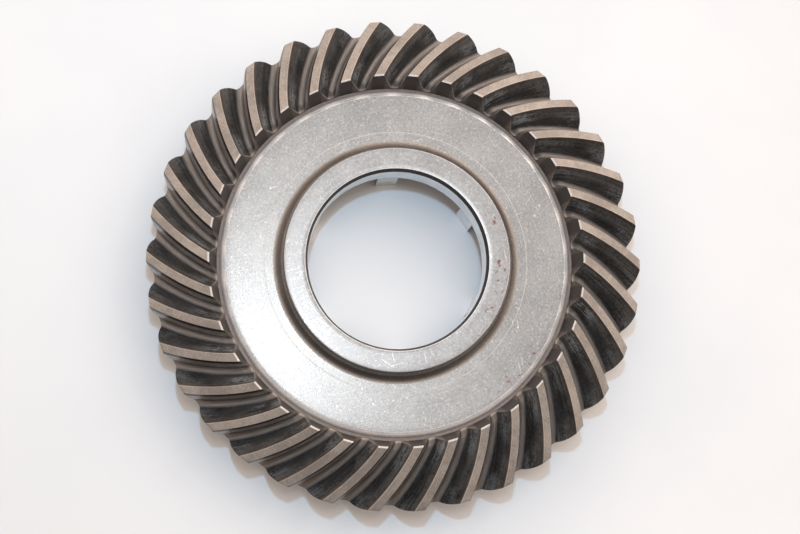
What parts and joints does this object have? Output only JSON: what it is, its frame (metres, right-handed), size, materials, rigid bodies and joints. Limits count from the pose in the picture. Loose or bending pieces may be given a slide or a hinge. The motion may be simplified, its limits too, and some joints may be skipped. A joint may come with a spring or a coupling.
{
  "type": "spiral bevel crown wheel",
  "caption": "Spiral bevel crown wheel with a toothed rim, a flat web, a raised boss and a smooth bore over locking dogs.",
  "frame": {"origin": "on the bore axis, in the plane of the back face that the wheel lies on", "axes": "+Z along the bore axis towards the toothed side, +X through the middle of one dog of the bush"},
  "size_m": [0.3882, 0.3882, 0.0601],
  "materials": {
    "toothed_rim": "case-hardened black flanks with satin tooth tops",
    "hub_disc": "machined satin",
    "bore_bush": "ground bright"
  },
  "bodies": {
    "bush": {"bore_bush": "bore_bush"},
    "wheel": {"toothed_rim": "toothed_rim", "hub_disc": "hub_disc"}
  },
  "joints": [
    {"name": "wheel_spin", "type": "hinge", "parent": "bush", "child": "wheel", "pos_m": [0, 0, 0.0386], "axis": [0, 0, 1], "continuous": true}
  ]
}
